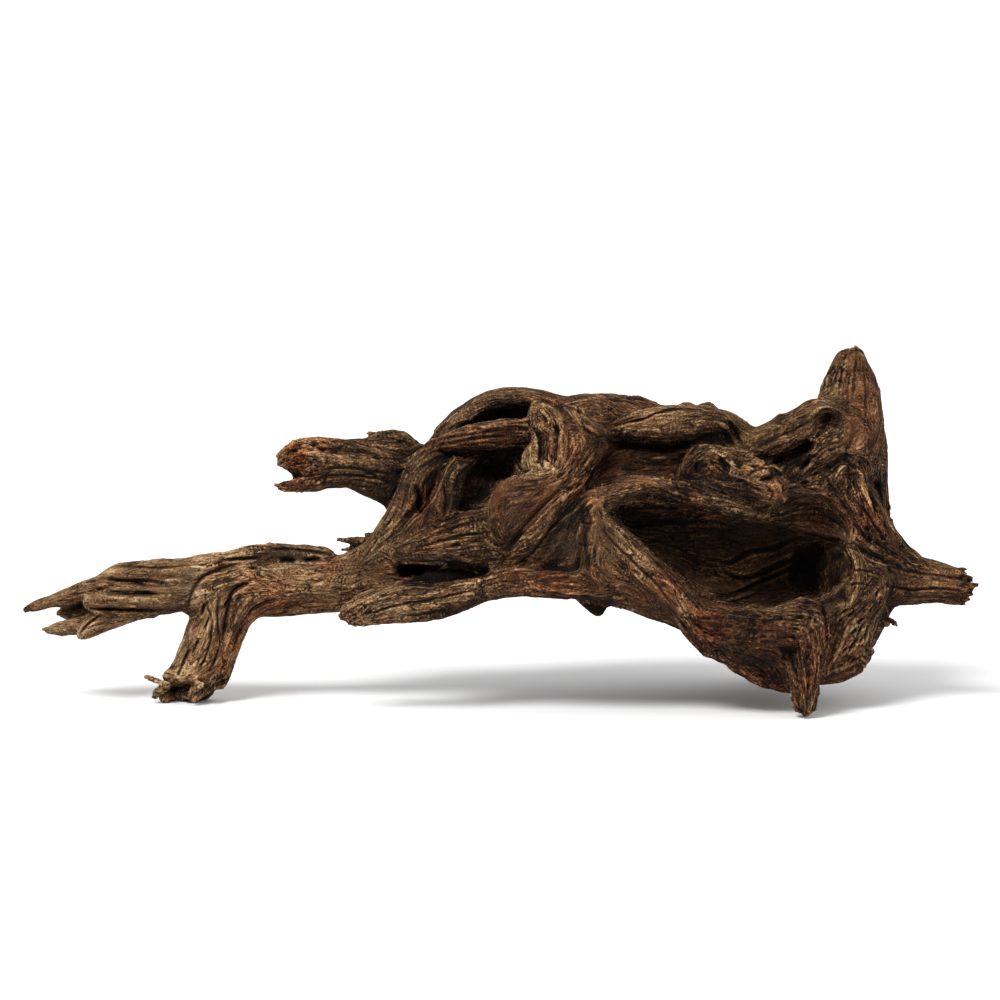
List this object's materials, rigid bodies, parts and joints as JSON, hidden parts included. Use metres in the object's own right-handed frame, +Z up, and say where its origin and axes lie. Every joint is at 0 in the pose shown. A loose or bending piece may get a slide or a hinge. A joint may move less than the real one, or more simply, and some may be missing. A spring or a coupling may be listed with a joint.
{
  "type": "driftwood",
  "caption": "Weathered driftwood: a hollow root crown with a horn and short roots, and a long branch on a leg that ends in splintered fingers.",
  "frame": {"origin": "middle of the bounding box at the level of the three feet", "axes": "+X along the wood, from the splintered branch tip to the right root; +Y away from the hollow's mouth; +Z up"},
  "size_m": [0.4756, 0.1308, 0.1774],
  "materials": {
    "dark_wood": "dry weathered wood, dark brown with reddish patches, fibrous and cracked, matt",
    "brown_wood": "dry weathered wood, mid brown, fibrous and cracked, matt",
    "tan_wood": "dry weathered wood, light tan brown with fine long fibres, matt"
  },
  "bodies": {
    "root": {"root_crown": "dark_wood", "horn": "brown_wood", "right_root": "brown_wood", "upper_stub": "brown_wood", "long_branch": "tan_wood", "front_leg": "tan_wood", "branch_tip": "tan_wood"}
  },
  "joints": []
}
